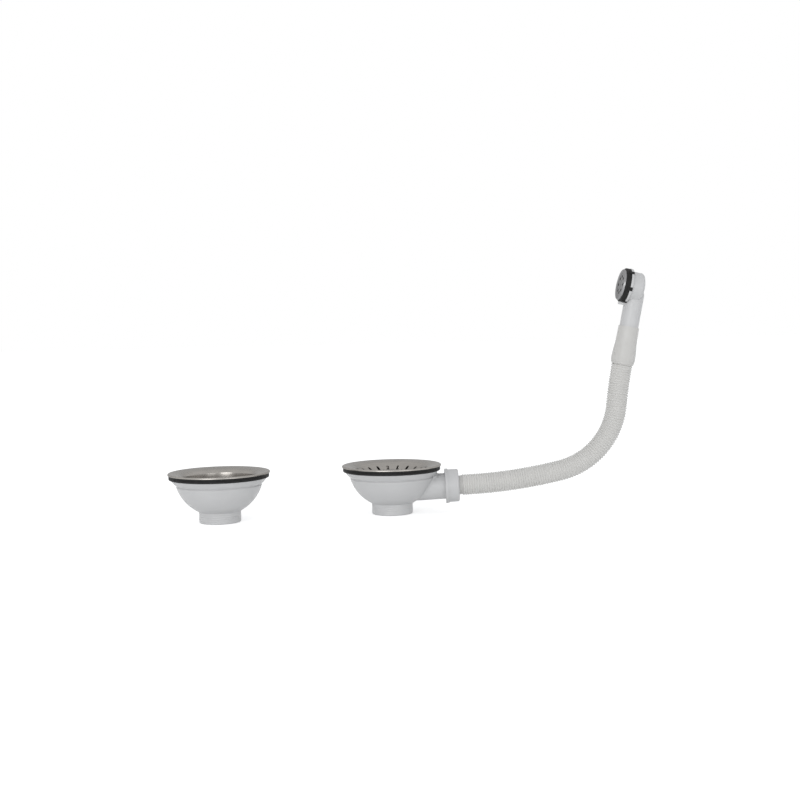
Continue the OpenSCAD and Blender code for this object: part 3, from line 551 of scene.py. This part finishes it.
def strainer_baskets(finishes):
    """Both basket cups, with wide slots and leaning rims."""
    beyond, top_reach = 1 * MM, 0.1 * MM
    for waste, finish in finishes.items():
        cup = waste + "_basket_cup"
        axis, (low, high) = axis_of(cup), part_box(cup)
        mesh = combined(copy_of(cup), [(slot_cutter(axis, low.z - beyond, high.z + beyond), "DIFFERENCE")])
        for vertex in mesh.vertices:
            out = (vertex.co - axis).to_2d()
            if vertex.co.z > high.z - top_reach:
                vertex.co += (out.normalized() * RIM_LEAN).to_3d()
        tidy_mesh(mesh)
        dress(link(waste + "_strainer", mesh), finish, "basket_steel", cup, body=waste + "_basket")


def hose_way(length):
    """The hose's middle line at this length: its point and its heading."""
    point = Vector((HOSE_FROM * math.cos(PORT_RISE), 0, PORT_Z + HOSE_FROM * math.sin(PORT_RISE)))
    heading = PORT_RISE
    for stretch, turn_deg in HOSE_ROUTE:
        part = min(length, stretch)
        turn = math.radians(turn_deg) * part / stretch
        chord = part * (math.sin(turn / 2) / (turn / 2) if turn else 1)
        point = point + chord * Vector((math.cos(heading + turn / 2), 0, math.sin(heading + turn / 2)))
        heading += turn
        length -= part
        if length <= 0:
            break
    return point, heading


def hose_ring(length, radius, sides):
    """A ring of points round the hose's middle line."""
    point, heading = hose_way(length)
    across = Vector((-math.sin(heading), 0, math.cos(heading)))
    angles = [2 * math.pi * k / sides for k in range(sides)]
    return [point + radius * (across * math.cos(a) + Vector((0, 1, 0)) * math.sin(a)) for a in angles]


def corrugated_hose(material):
    """The hose with rounded folds outside and inside."""
    sides, steps_a_fold, valley_power = 56, 8, 1.4
    whole = sum(stretch for stretch, _ in HOSE_ROUTE)
    folds = round(whole / HOSE_PITCH)
    count = folds * steps_a_fold
    outer, inner = [], []
    for i in range(count + 1):
        valley = (0.5 + 0.5 * math.cos(2 * math.pi * i / steps_a_fold)) ** valley_power
        radius = HOSE_R - HOSE_FOLD * valley
        outer.append(hose_ring(whole * i / count, radius, sides))
        if i % 2 == 0:
            inner.append(hose_ring(whole * i / count, radius - HOSE_WALL, sides))
    mesh = rings_mesh("corrugated_hose", outer + inner[::-1], True)
    tidy_mesh(mesh, sharp_deg=75)
    dress(link("corrugated_hose", mesh), material, "hose_plastic", "overflow_hose")


def rounded_cuff(material):
    """The cuff with a long rounded lower end and a soft swell above it."""
    outside_r, swell, swell_l, lip_trim = 12.5 * MM, 0.4 * MM, 28 * MM, 0.45 * MM
    edge_l, long_edge_l = 3 * MM, 8 * MM
    grip = HOSE_ROUTE[-1][0]
    start, heading = hose_way(sum(stretch for stretch, _ in HOSE_ROUTE) - grip)
    along = Vector((math.cos(heading), 0, math.sin(heading)))
    mesh = copy_of("hose_cuff")
    for vertex in mesh.vertices:
        up = (vertex.co - start).dot(along)
        out = vertex.co - start - along * up
        if out.length > outside_r and up < swell_l:
            if up < edge_l + DOUBLED:
                up *= long_edge_l / edge_l
            trim = lip_trim * max(1 - up / long_edge_l, 0) ** 2
            radius = out.length + swell * math.sin(math.pi * up / swell_l) - trim
            vertex.co = start + along * up + out.normalized() * radius
    tidy_mesh(mesh)
    dress(link("rounded_cuff", mesh), material, "hose_plastic", "hose_cuff")


# Dressing

def dress(piece, material, slot, *replaced, body="root"):
    """Gives a new piece its material, hides the CAD nodes that it replaces, and lets it ride on a body."""
    piece.data.materials.clear()
    piece.data.materials.append(material)
    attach(piece, body)
    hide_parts(*replaced)


def smooth_group():
    """Geometry nodes that join doubled points and smooth all but sharp edges."""
    group = bpy.data.node_groups.new("smooth_shading", "GeometryNodeTree")
    group.interface.new_socket("Geometry", in_out="INPUT", socket_type="NodeSocketGeometry")
    group.interface.new_socket("Geometry", in_out="OUTPUT", socket_type="NodeSocketGeometry")
    start = group.nodes.new("NodeGroupInput")
    merge = add(group, "GeometryNodeMergeByDistance", {0: start.outputs[0], "Distance": DOUBLED})
    faces = add(group, "GeometryNodeSetShadeSmooth", {0: merge.outputs[0], "Shade Smooth": True},
                domain="FACE")
    angle = add(group, "GeometryNodeInputMeshEdgeAngle")
    soft = add(group, "FunctionNodeCompare", {0: angle.outputs[0], 1: math.radians(SHARP_DEG)},
               operation="LESS_THAN")
    edges = add(group, "GeometryNodeSetShadeSmooth", {0: faces.outputs[0], "Shade Smooth": soft.outputs[0]},
                domain="EDGE")
    end = group.nodes.new("NodeGroupOutput")
    group.links.new(edges.outputs[0], end.inputs[0])
    return group


def dress_node(name, material, group):
    """A CAD node keeps its mesh and gets a finished material and smooth shading."""
    node = nodes[name]
    if "custom_normal" in node.data.attributes:
        node.data.attributes.remove(node.data.attributes["custom_normal"])
    node.data.materials.clear()
    node.data.materials.append(material)
    node.modifiers.new("smooth_shading", "NODES").node_group = group


photo_camera()
pale_world()
pale_floor()
soft_light("key", (-0.9, -2.6, 0.6), size=1.6, watts=24)
soft_light("fill", (1.3, -2.2, 0.2), size=1.4, watts=8)

white_plastic = moulded_plastic("white_plastic", WHITE_PLASTIC, roughness=0.42)
hose_plastic = moulded_plastic("hose_plastic", HOSE_PLASTIC, roughness=0.46, depth=0.6)
rubber = black_rubber()
# The same hose plastic, painted lighter on the folded hose to offset the shade in its folds
painted_light_hose_plastic = moulded_plastic("painted_light_hose_plastic", PAINTED_LIGHT_HOSE_PLASTIC, roughness=0.46, depth=0.6)
brass = plain_metal("brass", BRASS, low=0.28, high=0.42)
spring = plain_metal("spring_steel", SPRING_STEEL, low=0.25, high=0.4)
rosette_axis = middle("overflow_rosette")
rosette_turn = BELL_AXIS.to_track_quat("Z", "Y").to_euler()
face_steel = turned_metal("rosette_steel", ROSETTE_STEEL, 0.2, 0.36, rosette_axis, rosette_turn)
steel = {}
basket_steel = {}
for side in ("plain", "overflow"):
    axis = axis_of(side + "_strainer_dish")
    steel[side] = turned_metal(side + "_steel", STEEL, 0.2, 0.36, axis)
    basket_steel[side] = turned_metal(side + "_basket_steel", BASKET_STEEL, 0.16, 0.3, axis)

waste_bodies(white_plastic)
steel_dishes(steel, rubber)
strainer_baskets(basket_steel)
corrugated_hose(painted_light_hose_plastic)
rounded_cuff(hose_plastic)

by_slot = {"white_plastic": white_plastic, "hose_plastic": hose_plastic, "rubber": rubber,
           "brass": brass, "spring_steel": spring}
shading = smooth_group()
for part in frame["record"]["subparts"]:
    name, slot = part["node"], part["material_slot"]
    side = "plain" if name.startswith("plain") else "overflow"
    if name in ("overflow_rosette", "rosette_screw"):
        finish = face_steel
    elif slot == "steel":
        finish = steel[side]
    elif slot == "basket_steel":
        finish = basket_steel[side]
    else:
        finish = by_slot[slot]
    dress_node(name, finish, shading)

scene = bpy.context.scene
scene.view_settings.view_transform = "Standard"
